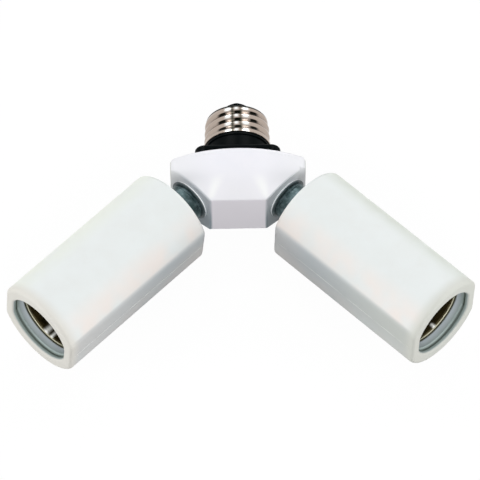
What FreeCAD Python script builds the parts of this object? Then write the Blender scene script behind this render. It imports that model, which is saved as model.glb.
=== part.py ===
import FreeCAD, Part
import math
import os
import re

import Sketcher

# Twin lamp socket adapter: a screw base on a hub, and two lamp sockets that turn on hollow stems.
# The screw axis is +Y, the plane of both socket axes is z = 0, and the origin is the centre of
# the black flange's outer face. Each arm has its own frame, with Z along the socket's axis.

DRIVING = {
    "arm_angle": 45,
    "left_roll": -6,
    "right_roll": -2,
    "hub_half_width": 26.75,
    "hub_front_half_width": 11.3,
    "hub_side_length": 4.5,
    "hub_crown_height": 18.9,
    "hub_crown_side_height": 10.8,
    "hub_front_height": 10.4,
    "hub_front_side_height": 9.8,
    "hub_crease_half_width": 2.4,
    "hub_wall": 2.6,
    "hub_edge_radius": 1.2,
    "hub_corner_radius": 3.4,
    "cover_thickness": 2.2,
    "cover_rim_depth": 1.4,
    "cover_rim_wall": 1.4,
    "fit_gap": 0.1,
    "flange_half_width": 16.9,
    "flange_half_height": 16.2,
    "flange_thickness": 3.0,
    "flange_corner_radius": 4.0,
    "flange_edge_radius": 1.1,
    "neck_diameter": 25.0,
    "neck_length": 8.2,
    "bead_diameter": 26.0,
    "bead_length": 1.1,
    "collar_bore": 19.0,
    "collar_sleeve_diameter": 23.6,
    "collar_sleeve_length": 6.0,
    "spigot_diameter": 25.0,
    "spigot_bore": 22.4,
    "collar_screw_x": 13.2,
    "collar_screw_z": 7.5,
    "collar_screw_length": 4.4,
    "small_screw_diameter": 2.5,
    "small_head_diameter": 4.6,
    "small_head_height": 1.6,
    "small_head_side_height": 0.9,
    "small_head_top_diameter": 3.5,
    "screw_slot_width": 0.7,
    "screw_slot_depth": 0.8,
    "thread_pitch": 3.629,
    "thread_depth": 0.84,
    "sheet_wall": 0.3,
    "base_thread_diameter": 26.4,
    "base_thread_taper": 0.9,
    "base_skirt_diameter": 26.9,
    "base_skirt_length": 1.0,
    "base_skirt_run": 0.6,
    "base_thread_length": 10.7,
    "base_nose_length": 1.9,
    "base_nose_diameter": 19.2,
    "base_knee_diameter": 23.2,
    "base_lip_height": 0.5,
    "insulator_height": 5.0,
    "insulator_knee_diameter": 15.4,
    "insulator_knee_height": 2.0,
    "insulator_top_diameter": 8.4,
    "insulator_shank_diameter": 14.0,
    "insulator_shank_length": 4.0,
    "contact_diameter": 6.6,
    "contact_height": 2.0,
    "contact_side_height": 0.7,
    "contact_knee_diameter": 4.8,
    "contact_knee_height": 1.6,
    "contact_flat_diameter": 2.6,
    "contact_shank_diameter": 3.4,
    "contact_tail_diameter": 6.4,
    "contact_tail_height": 0.8,
    "washer_diameter": 17.8,
    "washer_thickness": 0.8,
    "swivel_play": 0.1,
    "stem_diameter": 16.0,
    "stem_length": 9.3,
    "stem_edge": 0.6,
    "stem_bore": 6.4,
    "stem_pivot_diameter": 10.0,
    "pivot_clearance": 0.05,
    "stem_thread_diameter": 12.0,
    "ring_groove_depth": 0.6,
    "ring_thickness": 1.0,
    "ring_diameter": 14.4,
    "ring_opening": 5.0,
    "ring_land": 1.2,
    "spring_height": 1.1,
    "spring_thickness": 0.4,
    "spring_diameter": 16.8,
    "nut_across_flats": 14.0,
    "nut_height": 4.0,
    "nut_spare_thread": 1.5,
    "socket_diameter": 39.4,
    "socket_flat_depth": 1.7,
    "socket_length": 74.0,
    "socket_floor": 4.0,
    "socket_rim_radius": 1.5,
    "socket_end_radius": 1.8,
    "seam_height": 0.12,
    "seam_width": 0.5,
    "mouth_diameter": 28.8,
    "mouth_flat_depth": 0.5,
    "mouth_depth": 3.0,
    "mouth_edge_radius": 1.0,
    "entry_diameter": 27.6,
    "entry_length": 3.2,
    "shell_length": 28.1,
    "lamp_thread_diameter": 26.4,
    "shell_lip_height": 0.8,
    "shell_floor_opening": 15.0,
    "lamp_thread_length": 15.0,
    "lamp_plain_length": 2.4,
    "block_thickness": 6.0,
    "chamber_diameter": 24.0,
    "rib_width": 5.4,
    "rib_reach": 7.4,
    "rib_root": 1.0,
    "pilot_spare": 1.0,
    "shell_screw_radius": 9.6,
    "shell_screw_length": 14.0,
    "leaf_width": 5.6,
    "leaf_thickness": 0.5,
    "leaf_length": 8.4,
    "leaf_rise": 4.4,
    "leaf_fold_height": 1.3,
    "leaf_crest": 3.8,
    "leaf_end": 0.9,
    "leaf_end_height": 3.8,
    "leaf_tail": 2.6,
    "rivet_shank_diameter": 1.5,
    "rivet_head_diameter": 3.4,
    "rivet_head_height": 0.9,
    "rivet_side_height": 0.45,
    "rivet_tail_diameter": 1.9,
    "rivet_tail_height": 0.8,
    "tag_width": 5.0,
    "tag_thickness": 0.5,
    "tag_start": 1.5,
    "lead_diameter": 1.8,
    "lead_offset": 2.0,
    "lead_spacing": 1.4,
    "lead_gap": 0.3,
}

doc = FreeCAD.newDocument("twin_socket_adapter")
sheet = doc.addObject("Spreadsheet::Sheet", "sizes")
for row, (name, number) in enumerate(DRIVING.items(), start=1):
    sheet.set(f"A{row}", name)
    sheet.set(f"B{row}", str(number))
    sheet.setAlias(f"B{row}", name)
doc.recompute()

UP = FreeCAD.Vector(0, 0, 1)
# The base's own Z is the screw axis, +Y.
BASE_TURN = FreeCAD.Rotation(FreeCAD.Vector(1, 0, 0), -90)
# A section of the hub is drawn with its height along +Z.
SECTION_TURN = FreeCAD.Rotation(FreeCAD.Vector(1, 0, 0), 90)
parts = []


def bound(text):
    """Expression on the sheet from a text that uses the sizes' plain names."""
    return re.sub(r"[a-z]\w+", lambda word: "sizes." + word[0] if word[0] in DRIVING else word[0], text)


def value(text):
    return float(sheet.evalExpression(bound(text)))


def finish(label, shape_object):
    shape_object.Label = label
    parts.append(shape_object)
    return shape_object


def bind(thing, **sizes):
    for name, text in sizes.items():
        thing.setExpression(name, bound(text))


# Sketches

def sketch_in(body, role="XY_Plane", height="0"):
    """Empty sketch on one of the body's own planes, raised by a bound height."""
    sketch = body.newObject("Sketcher::SketchObject", "outline")
    plane = [item for item in body.Origin.OriginFeatures if item.Role == role]
    sketch.AttachmentSupport = [(plane[0], "")]
    sketch.MapMode = "FlatFace"
    sketch.setExpression("AttachmentOffset.Base.z", bound(height))
    return sketch


def fix(sketch, kind, edge, point, text):
    """Distance of a sketch point from the origin, to the side that the sign gives."""
    if value(text) == 0:
        axis = -2 if kind == "DistanceX" else -1
        sketch.addConstraint(Sketcher.Constraint("PointOnObject", edge, point, axis))
        return
    if text.startswith("-"):
        ends = (edge, point, -1, 1)
        text = text[1:]
    else:
        ends = (-1, 1, edge, point)
    index = sketch.addConstraint(Sketcher.Constraint(kind, *ends, value(text)))
    sketch.setExpression(f"Constraints[{index}]", bound(text))


def draw_outline(sketch, points, radii=None):
    """Closed outline through the points; radii gives the radius of each edge that is an arc."""
    radii = radii or {}
    spots = [FreeCAD.Vector(value(x), value(y), 0) for x, y in points]
    count = len(spots)
    for index, spot in enumerate(spots):
        following = spots[(index + 1) % count]
        if index not in radii:
            sketch.addGeometry(Part.LineSegment(spot, following))
            continue
        radius = value(radii[index])
        chord = following - spot
        rise = radius - math.sqrt(radius ** 2 - (chord.Length / 2) ** 2)
        outward = chord.cross(UP).normalize()
        sketch.addGeometry(Part.Arc(spot, (spot + following) / 2 + outward * rise, following))
        bend = sketch.addConstraint(Sketcher.Constraint("Radius", index, radius))
        sketch.setExpression(f"Constraints[{bend}]", bound(radii[index]))
    starts = {index: start_of(sketch, index, spot) for index, spot in enumerate(spots)}
    for index, (x, y) in enumerate(points):
        previous = (index - 1) % count
        ends = (previous, 3 - starts[previous], index, starts[index])
        sketch.addConstraint(Sketcher.Constraint("Coincident", *ends))
        fix(sketch, "DistanceX", index, starts[index], x)
        fix(sketch, "DistanceY", index, starts[index], y)


def start_of(sketch, index, spot):
    """Which end of a sketch edge lies at the spot: an arc always runs anticlockwise."""
    edge = sketch.Geometry[index]
    return 1 if edge.StartPoint.distanceToPoint(spot) < edge.EndPoint.distanceToPoint(spot) else 2


def draw_circle(sketch, diameter, x="0", y="0"):
    centre = FreeCAD.Vector(value(x), value(y), 0)
    edge = sketch.addGeometry(Part.Circle(centre, UP, value(diameter) / 2))
    index = sketch.addConstraint(Sketcher.Constraint("Diameter", edge, value(diameter)))
    sketch.setExpression(f"Constraints[{index}]", bound(diameter))
    fix(sketch, "DistanceX", edge, 3, x)
    fix(sketch, "DistanceY", edge, 3, y)


def draw_flatted_circle(sketch, diameter, flat_depth):
    """Circle with two flats, square to X, each a depth inside the circle."""
    side = f"({diameter} / 2 - {flat_depth})"
    reach = f"sqrt(({diameter} / 2) ^ 2 - {side} ^ 2)"
    points = [(side, reach), ("-" + side, reach), ("-" + side, "-" + reach), (side, "-" + reach)]
    draw_outline(sketch, points, {0: f"{diameter} / 2", 2: f"{diameter} / 2"})


def draw_rectangle(sketch, low_x, high_x, half_y):
    draw_outline(sketch, [(low_x, "-" + half_y), (high_x, "-" + half_y), (high_x, half_y), (low_x, half_y)])


# Features of a body

def new_body(name):
    return doc.addObject("PartDesign::Body", name)


def pad(body, sketch, length, both_ways=False):
    feature = body.newObject("PartDesign::Pad", "pad")
    feature.Profile = sketch
    feature.Midplane = both_ways
    bind(feature, Length=length)
    doc.recompute()
    return feature


def pocket(body, sketch, depth):
    """Cut from the sketch down the body's own Z."""
    before = body.Shape.Volume
    feature = body.newObject("PartDesign::Pocket", "pocket")
    feature.Profile = sketch
    bind(feature, Length=depth)
    doc.recompute()
    if body.Shape.Volume >= before:
        raise ValueError(f"{body.Name}: a pocket removes nothing")
    return feature


def revolve(body, profile):
    """Ring or shaft about the body's own Z, from points (radius, height)."""
    sketch = sketch_in(body, "XZ_Plane")
    draw_outline(sketch, profile)
    feature = body.newObject("PartDesign::Revolution", "turning")
    feature.Profile = sketch
    feature.ReferenceAxis = (sketch, ["V_Axis"])
    feature.Angle = 360
    doc.recompute()
    return feature


def soften(body, radius, chosen, kind="Fillet"):
    """Round or chamfer the body's edges that the test picks."""
    base = body.Tip
    edges = [f"Edge{i}" for i, edge in enumerate(base.Shape.Edges, start=1) if chosen(edge)]
    feature = body.newObject(f"PartDesign::{kind}", "edge")
    feature.Base = (base, edges)
    bind(feature, **{"Radius" if kind == "Fillet" else "Size": radius})
    doc.recompute()
    return feature


def at_height(text):
    """Test for edges that lie wholly at one height."""
    height = value(text)
    return lambda edge: abs(edge.BoundBox.ZMin - height) < 1e-4 and abs(edge.BoundBox.ZMax - height) < 1e-4


def turned(name, profile, edges=(), outside=""):
    """Turned piece; the edges at the outside diameter get a chamfer (size, height) each."""
    body = new_body(name)
    revolve(body, profile)
    for size, height in edges:
        level = at_height(height)
        reach = value(outside) - 1e-3
        soften(body, size, lambda edge: level(edge) and edge.BoundBox.XLength > reach, "Chamfer")
    return finish(name, body)


# Places

FACE_CENTRE_X = "(hub_half_width + hub_front_half_width) / 2"
FACE_RUN = "(hub_half_width - hub_front_half_width) / tan(arm_angle)"
HUB_END = "(flange_thickness + hub_side_length)"
# Bore of the socket body where the lamp's screw shell and the contact block sit.
SHELL_BORE = "(lamp_thread_diameter + 2 * sheet_wall + 2 * fit_gap)"
face_x = value(FACE_CENTRE_X)
face_y = -value(HUB_END) - value(FACE_RUN) / 2
arms_meet_y = face_y + face_x * math.tan(math.radians(value("arm_angle")))
# Distances along an arm, from the point where both arms and the screw axis meet.
face_at = face_x / math.cos(math.radians(value("arm_angle")))
seat_at = face_at - value("hub_wall")
stem_at = face_at + value("washer_thickness + swivel_play")
socket_at = stem_at + value("stem_length")
spring_at = seat_at - value("spring_height")
ring_at = spring_at - value("swivel_play + ring_thickness")
stem_end_at = ring_at - value("ring_land")
floor_at = socket_at + value("socket_floor")
mouth_at = socket_at + value("socket_length")
shell_top_at = mouth_at - value("mouth_depth + entry_length")
block_front_at = shell_top_at - value("shell_length")
block_back_at = block_front_at - value("block_thickness")


def arm_axis(side):
    angle = math.radians(value("arm_angle"))
    return FreeCAD.Vector(side * math.cos(angle), -math.sin(angle), 0)


def arm_place(side, distance, roll=0.0, offset=FreeCAD.Vector()):
    """Place on an arm: Z outward, Y up before the roll."""
    axis = arm_axis(side)
    turn = FreeCAD.Rotation(UP.cross(axis), UP, axis, "ZXY").multiply(FreeCAD.Rotation(UP, roll))
    meet = FreeCAD.Vector(0, arms_meet_y, 0)
    return FreeCAD.Placement(meet + axis * distance + turn.multVec(offset), turn)


def on_arm(thing, *place):
    thing.Placement = arm_place(*place)


def on_base(thing, height, offset=FreeCAD.Vector()):
    """Set a piece on the screw axis: its Z along +Y."""
    place = FreeCAD.Vector(0, height, 0) + BASE_TURN.multVec(offset)
    thing.Placement = FreeCAD.Placement(place, BASE_TURN)


# Hub: a flat six-sided plan, with broad faces that rise from the front to a domed screw end

def plan_prism(name, inset, top):
    """The hub's plan outline, drawn in by the inset, as a prism about z = 0."""
    sketch = doc.addObject("Sketcher::SketchObject", name + "_plan")
    side = f"(hub_half_width - {inset})"
    shoulder = f"({HUB_END} - {inset} * tan(arm_angle / 2))"
    front = f"(hub_front_half_width - {inset} * tan((90 - arm_angle) / 2))"
    nose = f"({HUB_END} + {FACE_RUN} - {inset})"
    outline = [(side, "-" + top), (side, "-" + shoulder), (front, "-" + nose)]
    mirrored = [("-" + x, y) for x, y in reversed(outline)]
    draw_outline(sketch, outline + mirrored)
    prism = doc.addObject("Part::Extrusion", name + "_prism")
    prism.Base = sketch
    prism.DirMode = "Custom"
    prism.Dir = UP
    prism.Symmetric = True
    prism.Solid = True
    bind(prism, LengthFwd="hub_crown_height * 3")
    return prism


def hub_section(name, y_text, points, radius=None):
    sketch = doc.addObject("Sketcher::SketchObject", name)
    draw_outline(sketch, points, {i: radius for i in (0, 1, 2, 4, 5, 6)} if radius else None)
    sketch.Placement = FreeCAD.Placement(FreeCAD.Vector(0, 0, 0), SECTION_TURN)
    sketch.setExpression("Placement.Base.y", bound(y_text))
    return sketch


def both_halves(quarter):
    """Eight-cornered section from the corners of its right upper quarter."""
    (side_x, side_z), (crease_x, crease_z) = quarter
    upper = [(side_x, side_z), (crease_x, crease_z), ("-" + crease_x, crease_z), ("-" + side_x, side_z)]
    return upper + [(x, "-" + z) for x, z in reversed(upper)]


def dome_loft(name, inset):
    """Straight-ruled dome between the screw end's arch and the front's flat section."""
    side = f"(hub_half_width - {inset})"
    low = f"(hub_crown_side_height - {inset})"
    high = f"(hub_crown_height - {inset})"
    sag = f"({high} - {low})"
    radius = f"(({side} ^ 2 + {sag} ^ 2) / 2 / {sag})"
    crease_z = f"({high} - {radius} + sqrt({radius} ^ 2 - hub_crease_half_width ^ 2))"
    crown = both_halves([(side, low), ("hub_crease_half_width", crease_z)])
    front_z = f"(hub_front_height - {inset})"
    front = both_halves([(side, f"(hub_front_side_height - {inset})"), ("hub_front_half_width", front_z)])
    sections = [
        hub_section(name + "_crown", "-flange_thickness", crown, radius),
        hub_section(name + "_front", f"-({HUB_END} + {FACE_RUN})", front),
    ]
    loft = doc.addObject("Part::Loft", name + "_dome")
    loft.Sections = sections
    loft.Solid = True
    loft.Ruled = True
    return loft


def common(name, *pieces):
    joined = doc.addObject("Part::MultiCommon", name)
    joined.Shapes = list(pieces)
    return joined


def fused(name, *pieces):
    joined = doc.addObject("Part::MultiFuse", name)
    joined.Shapes = list(pieces)
    return joined


def cut(name, base, tool):
    piece = doc.addObject("Part::Cut", name)
    piece.Base = base
    piece.Tool = tool
    return piece


def slab(name, low, high):
    """Block across the whole hub between two distances below the flange's outer face."""
    block = doc.addObject("Part::Box", name)
    bind(block, Length="hub_half_width * 4", Width=f"{high} - {low}", Height="hub_crown_height * 4")
    bind(block, **{"Placement.Base.x": "-hub_half_width * 2", "Placement.Base.y": f"-({high})",
                   "Placement.Base.z": "-hub_crown_height * 2"})
    return block


def rounded_hub():
    """The hub's whole outer form, with its edges rounded."""
    form = common("hub_form", plan_prism("hub_outer", "0", "flange_thickness"), dome_loft("hub_outer", "0"))
    doc.recompute()
    small = value("hub_edge_radius")
    large = value("hub_corner_radius")
    side_x = value("hub_half_width")
    edges = []
    for index, edge in enumerate(form.Shape.Edges, start=1):
        box = edge.BoundBox
        on_crease = box.YLength > value(FACE_RUN)
        if on_crease:
            continue
        on_side = abs(abs(box.Center.x) - side_x) < 1e-3 and box.ZLength < 1 and box.YLength > 1
        radius = large if on_side else small
        edges.append((index, radius, radius))
    rounding = doc.addObject("Part::Fillet", "hub_rounded")
    rounding.Base = form
    rounding.Edges = edges
    doc.recompute()
    return rounding


def bore_tool(name, side, diameter, start, end):
    drill = doc.addObject("Part::Cylinder", name)
    bind(drill, Radius=f"({diameter}) / 2")
    drill.Height = end - start
    on_arm(drill, side, start)
    return drill


def make_hub():
    rounded = rounded_hub()
    cover_back = "(flange_thickness + cover_thickness)"
    far = f"({HUB_END} + {FACE_RUN} + hub_wall)"
    cavity = common("hub_cavity", plan_prism("hub_inner", "hub_wall", cover_back), dome_loft("hub_inner", "hub_wall"))
    holes = [bore_tool(f"pivot_hole_{side}", side, "stem_pivot_diameter + 2 * pivot_clearance",
                       seat_at - value("hub_wall"), face_at + value("hub_wall")) for side in (-1, 1)]
    lower = common("hub_lower", rounded, slab("below_cover", cover_back, far))
    finish("hub_housing", cut("hub_housing", lower, fused("hub_hollow", cavity, *holes)))

    plate = common("hub_plate", rounded, slab("at_cover", "0", cover_back))
    rim_outer = common("rim_outer", plan_prism("rim_outer", "(hub_wall + fit_gap)", cover_back),
                       dome_loft("rim_outer", "(hub_wall + fit_gap)"),
                       slab("rim_zone", cover_back, f"({cover_back} + cover_rim_depth)"))
    rim_inset = "(hub_wall + fit_gap + cover_rim_wall)"
    rim_inner = common("rim_inner", plan_prism("rim_inner", rim_inset, cover_back), dome_loft("rim_inner", rim_inset))
    rim = cut("cover_rim", rim_outer, rim_inner)
    mouth = doc.addObject("Part::Cylinder", "cover_hole")
    bind(mouth, Radius="spigot_diameter / 2 + fit_gap", Height="cover_thickness * 3")
    on_base(mouth, -value("flange_thickness + cover_thickness * 2"))
    pilots = []
    for side in (-1, 1):
        pilot = doc.addObject("Part::Cylinder", f"cover_screw_hole_{side}")
        bind(pilot, Radius="small_screw_diameter / 2 + fit_gap", Height="cover_thickness * 3")
        on_base(pilot, -value("flange_thickness + cover_thickness * 2"), collar_screw_spot(side))
        pilots.append(pilot)
    finish("hub_cover", cut("hub_cover", fused("cover_blank", plate, rim), fused("cover_holes", mouth, *pilots)))


def collar_screw_spot(side):
    return FreeCAD.Vector(side * value("collar_screw_x"), side * value("collar_screw_z"), 0)


# Screw base

SECTIONS_PER_TURN = 8


def make_base_collar():
    body = new_body("base_collar")
    plate = sketch_in(body, height="-flange_thickness")
    straight_x = "(flange_half_width - flange_corner_radius)"
    straight_y = "(flange_half_height - flange_corner_radius)"
    corner = [("flange_half_width", straight_y), (straight_x, "flange_half_height")]
    outline = corner + [("-" + x, y) for x, y in reversed(corner)]
    outline += [("-" + x, "-" + y) for x, y in corner] + [(x, "-" + y) for x, y in reversed(corner)]
    draw_outline(plate, outline, {i: "flange_corner_radius" for i in (0, 2, 4, 6)})
    pad(body, plate, "flange_thickness")
    soften(body, "flange_edge_radius", at_height("0"))
    neck = [("collar_bore / 2", "-(flange_thickness / 2)"), ("neck_diameter / 2", "-(flange_thickness / 2)"),
            ("neck_diameter / 2", "neck_length - bead_length"), ("bead_diameter / 2", "neck_length - bead_length"),
            ("bead_diameter / 2", "neck_length"), ("collar_sleeve_diameter / 2", "neck_length"),
            ("collar_sleeve_diameter / 2", "neck_length + collar_sleeve_length"),
            ("collar_bore / 2", "neck_length + collar_sleeve_length")]
    revolve(body, neck)
    spigot = [("spigot_bore / 2", "-(flange_thickness + cover_thickness)"),
              ("spigot_diameter / 2", "-(flange_thickness + cover_thickness)"),
              ("spigot_diameter / 2", "-(flange_thickness / 2)"), ("spigot_bore / 2", "-(flange_thickness / 2)")]
    revolve(body, spigot)
    for diameter, height in (("collar_bore", "0"), ("spigot_bore", "-(flange_thickness / 2)")):
        through = sketch_in(body, height=height)
        draw_circle(through, diameter)
        pocket(body, through, "flange_thickness + cover_thickness")
    screws = sketch_in(body, height="-(flange_thickness - collar_screw_length + cover_thickness)")
    draw_circle(screws, "small_screw_diameter", "collar_screw_x", "collar_screw_z")
    draw_circle(screws, "small_screw_diameter", "-collar_screw_x", "-collar_screw_z")
    pocket(body, screws, "flange_thickness * 2")
    on_base(body, 0)
    finish("base_collar", body)


def thread_core(radius, start, end, taper=0.0):
    """Solid with a rolled thread for a skin: a circle that rises while its centre goes round the axis.

    The taper is what the radius loses from start to end.
    """
    pitch = value("thread_pitch")
    throw = value("thread_depth") / 2
    steps = math.ceil((end - start) / pitch * SECTIONS_PER_TURN)
    wires = []
    for step in range(steps + 1):
        height = start + (end - start) * step / steps
        fade = min(1.0, 2 * (height - start) / pitch, 2 * (end - height) / pitch)
        angle = 2 * math.pi * (height - start) / pitch
        centre = FreeCAD.Vector(throw * fade * math.cos(angle), throw * fade * math.sin(angle), height)
        narrowed = radius - taper * step / steps
        wires.append(Part.Wire(Part.Circle(centre, UP, narrowed).toShape()))
    return Part.makeLoft(wires, True, False)


def turned_solid(profile):
    """Solid turned about Z from numbers (radius, height)."""
    points = [FreeCAD.Vector(r, 0, height) for r, height in profile]
    face = Part.Face(Part.makePolygon(points + points[:1]))
    return face.revolve(FreeCAD.Vector(), UP, 360)


def make_base_shell():
    wall = value("sheet_wall")
    outside = value("base_thread_diameter - thread_depth") / 2
    skirt = value("base_skirt_diameter") / 2
    straight = value("base_skirt_length")
    start = straight + value("base_skirt_run")
    taper = value("base_thread_taper") / 2
    end = start + value("base_thread_length")
    nose = end + value("base_nose_length")
    lip = value("base_nose_diameter") / 2
    tube = thread_core(outside, start, end, taper).cut(thread_core(outside - wall, start, end, taper))
    flare = turned_solid([(skirt - wall, 0), (skirt, 0), (skirt, straight), (outside, start), (outside - wall, start),
                          (skirt - wall, straight)])
    top = outside - taper
    knee = value("base_knee_diameter") / 2
    knee_at = (end + nose) / 2
    cap = turned_solid([(top - wall, end), (top, end), (knee, knee_at), (lip, nose), (lip, nose - wall),
                        (knee - wall, knee_at - wall)])
    shell = doc.addObject("Part::Feature", "base_screw_shell")
    shell.Shape = tube.fuse([flare, cap]).removeSplitter()
    on_base(shell, value("neck_length"))
    finish("base_screw_shell", shell)


def nose_height():
    return value("neck_length + base_skirt_length + base_skirt_run + base_thread_length + base_nose_length")


def make_tip():
    seat = "base_nose_diameter / 2"
    insulator = turned("tip_insulator", [
        ("contact_shank_diameter / 2", "0"), ("insulator_shank_diameter / 2", "0"),
        ("insulator_shank_diameter / 2", "insulator_shank_length"), (seat, "insulator_shank_length"),
        (seat, "insulator_shank_length + base_lip_height"),
        ("insulator_knee_diameter / 2", "insulator_shank_length + insulator_knee_height"),
        ("insulator_top_diameter / 2", "insulator_shank_length + insulator_height"),
        ("contact_shank_diameter / 2", "insulator_shank_length + insulator_height")])
    on_base(insulator, nose_height() - value("insulator_shank_length"))
    tail = "contact_tail_height"
    long = f"({tail} + insulator_shank_length + insulator_height)"
    contact = turned("base_contact", [
        ("0", "0"), ("contact_tail_diameter / 2", "0"), ("contact_tail_diameter / 2", tail),
        ("contact_shank_diameter / 2", tail), ("contact_shank_diameter / 2", long),
        ("contact_diameter / 2", long), ("contact_diameter / 2", long + " + contact_side_height"),
        ("contact_knee_diameter / 2", long + " + contact_knee_height"),
        ("contact_flat_diameter / 2", long + " + contact_height"), ("0", long + " + contact_height")])
    on_base(contact, nose_height() - value("insulator_shank_length + contact_tail_height"))


def slotted_screw(name, length):
    """Pan-head screw with its head's underside at height 0 and its shank below."""
    body = new_body(name)
    revolve(body, [("0", f"-({length})"), ("small_screw_diameter / 2", f"-({length})"),
                   ("small_screw_diameter / 2", "0"), ("small_head_diameter / 2", "0"),
                   ("small_head_diameter / 2", "small_head_side_height"),
                   ("small_head_top_diameter / 2", "small_head_height"), ("0", "small_head_height")])
    slot = sketch_in(body, height="small_head_height")
    draw_rectangle(slot, "-small_head_diameter", "small_head_diameter", "(screw_slot_width / 2)")
    pocket(body, slot, "screw_slot_depth")
    return body


def screw_pair(label, length, places):
    """Two like screws as one piece group."""
    screw = slotted_screw(label + "_form", length)
    pair = doc.addObject("Part::Feature", label)
    pair.Shape = Part.makeCompound([screw.Shape.transformed(place.toMatrix()) for place in places])
    return finish(label, pair)


def make_collar_screws():
    turn = FreeCAD.Rotation(FreeCAD.Vector(1, 0, 0), 90)
    back = -value("flange_thickness + cover_thickness")
    places = []
    for side in (-1, 1):
        spot = BASE_TURN.multVec(collar_screw_spot(side)) + FreeCAD.Vector(0, back, 0)
        places.append(FreeCAD.Placement(spot, turn))
    screw_pair("collar_screws", "collar_screw_length", places)


# Arms

def make_swivel(prefix, side, roll):
    washer = turned(prefix + "thrust_washer", [
        ("stem_pivot_diameter / 2 + fit_gap", "0"), ("washer_diameter / 2", "0"),
        ("washer_diameter / 2", "washer_thickness"), ("stem_pivot_diameter / 2 + fit_gap", "washer_thickness")])
    on_arm(washer, side, face_at)

    groove = "(stem_pivot_diameter / 2 - ring_groove_depth)"
    pivot = "stem_pivot_diameter / 2"
    shoulder = "(washer_thickness + hub_wall + spring_height + 2 * swivel_play + ring_thickness + ring_land)"
    barrel = f"({shoulder} + stem_length)"
    tip = f"({barrel} + socket_floor + nut_height + nut_spare_thread)"
    stem = turned(prefix + "swivel_stem", [
        ("stem_bore / 2", "0"), (pivot, "0"), (pivot, "ring_land"), (groove, "ring_land"),
        (groove, "ring_land + ring_thickness"), (pivot, "ring_land + ring_thickness"), (pivot, shoulder),
        ("stem_diameter / 2", shoulder), ("stem_diameter / 2", barrel), ("stem_thread_diameter / 2", barrel),
        ("stem_thread_diameter / 2", tip), ("stem_bore / 2", tip)],
        [("stem_edge", shoulder), ("stem_edge / 2", barrel)], "stem_diameter")
    on_arm(stem, side, stem_end_at, roll)

    ring = new_body(prefix + "retaining_ring")
    flat = sketch_in(ring)
    draw_circle(flat, "ring_diameter")
    draw_circle(flat, "stem_pivot_diameter - 2 * ring_groove_depth")
    pad(ring, flat, "ring_thickness")
    opening = sketch_in(ring, height="ring_thickness * 2")
    draw_rectangle(opening, "0", "ring_diameter", "(ring_opening / 2)")
    pocket(ring, opening, "ring_thickness * 3")
    on_arm(ring, side, ring_at, roll)
    finish(prefix + "retaining_ring", ring)

    inner = "stem_pivot_diameter / 2 + 2 * fit_gap"
    spring = turned(prefix + "disc_spring", [
        (inner, "0"), (inner + " + spring_thickness", "0"),
        ("spring_diameter / 2", "spring_height - spring_thickness"), ("spring_diameter / 2", "spring_height"),
        ("spring_diameter / 2 - spring_thickness", "spring_height"), (inner, "spring_thickness")])
    on_arm(spring, side, spring_at)

    nut = new_body(prefix + "stem_nut")
    corner = "(nut_across_flats / 2 / cos(30))"
    hexagon = sketch_in(nut)
    across = "(nut_across_flats / 2)"
    draw_outline(hexagon, [(across, f"({corner} / 2)"), ("0", corner), ("-" + across, f"({corner} / 2)"),
                           ("-" + across, f"-({corner} / 2)"), ("0", "-" + corner), (across, f"-({corner} / 2)")])
    draw_circle(hexagon, "stem_thread_diameter")
    pad(nut, hexagon, "nut_height")
    on_arm(nut, side, floor_at, roll)
    finish(prefix + "stem_nut", nut)


def make_socket_body(prefix, side, roll):
    body = new_body(prefix + "socket_body")
    outer = sketch_in(body)
    draw_flatted_circle(outer, "socket_diameter", "socket_flat_depth")
    pad(body, outer, "socket_length")
    soften(body, "socket_rim_radius", at_height("socket_length"))
    soften(body, "socket_end_radius", at_height("0"))

    mouth = sketch_in(body, height="socket_length")
    draw_flatted_circle(mouth, "mouth_diameter", "mouth_flat_depth")
    pocket(body, mouth, "mouth_depth")
    inner = value("mouth_diameter + fit_gap") / 2
    rim = at_height("socket_length")
    soften(body, "mouth_edge_radius", lambda edge: rim(edge) and edge.BoundBox.XMax < inner)
    depths = [("entry_diameter", "mouth_depth + entry_length"),
              (SHELL_BORE, "mouth_depth + entry_length + shell_length + block_thickness"),
              ("chamber_diameter", "socket_length - socket_floor")]
    for diameter, depth in depths:
        bore = sketch_in(body, height="socket_length")
        draw_circle(bore, diameter)
        pocket(body, bore, depth)

    chamber = "(socket_length - socket_floor - mouth_depth - entry_length - shell_length - block_thickness)"
    wall = "(chamber_diameter / 2 + rib_root)"
    for sign in ("", "-"):
        rib = sketch_in(body, height="socket_floor")
        ends = [(sign + "rib_reach", "-(rib_width / 2)"), (sign + wall, "-(rib_width / 2)"),
                (sign + wall, "rib_width / 2"), (sign + "rib_reach", "rib_width / 2")]
        draw_outline(rib, ends if not sign else ends[::-1])
        pad(body, rib, chamber)
    pilot = sketch_in(body, height=f"socket_floor + {chamber}")
    draw_circle(pilot, "small_screw_diameter", "shell_screw_radius")
    draw_circle(pilot, "small_screw_diameter", "-shell_screw_radius")
    pocket(body, pilot, "shell_screw_length - block_thickness + pilot_spare")
    hole = sketch_in(body, height="socket_floor")
    draw_circle(hole, "stem_thread_diameter")
    pocket(body, hole, "socket_floor")

    for sign in ("", "-"):
        seam = sketch_in(body, height="socket_end_radius")
        near = sign + "(socket_diameter / 2 - socket_flat_depth - seam_height)"
        far = sign + "(socket_diameter / 2 - socket_flat_depth + seam_height)"
        ends = [(near, "-(seam_width / 2)"), (far, "-(seam_width / 2)"), (far, "seam_width / 2"), (near, "seam_width / 2")]
        draw_outline(seam, ends if not sign else ends[::-1])
        pad(body, seam, "socket_length - socket_end_radius - socket_rim_radius")
    on_arm(body, side, socket_at, roll)
    finish(prefix + "socket_body", body)


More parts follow.
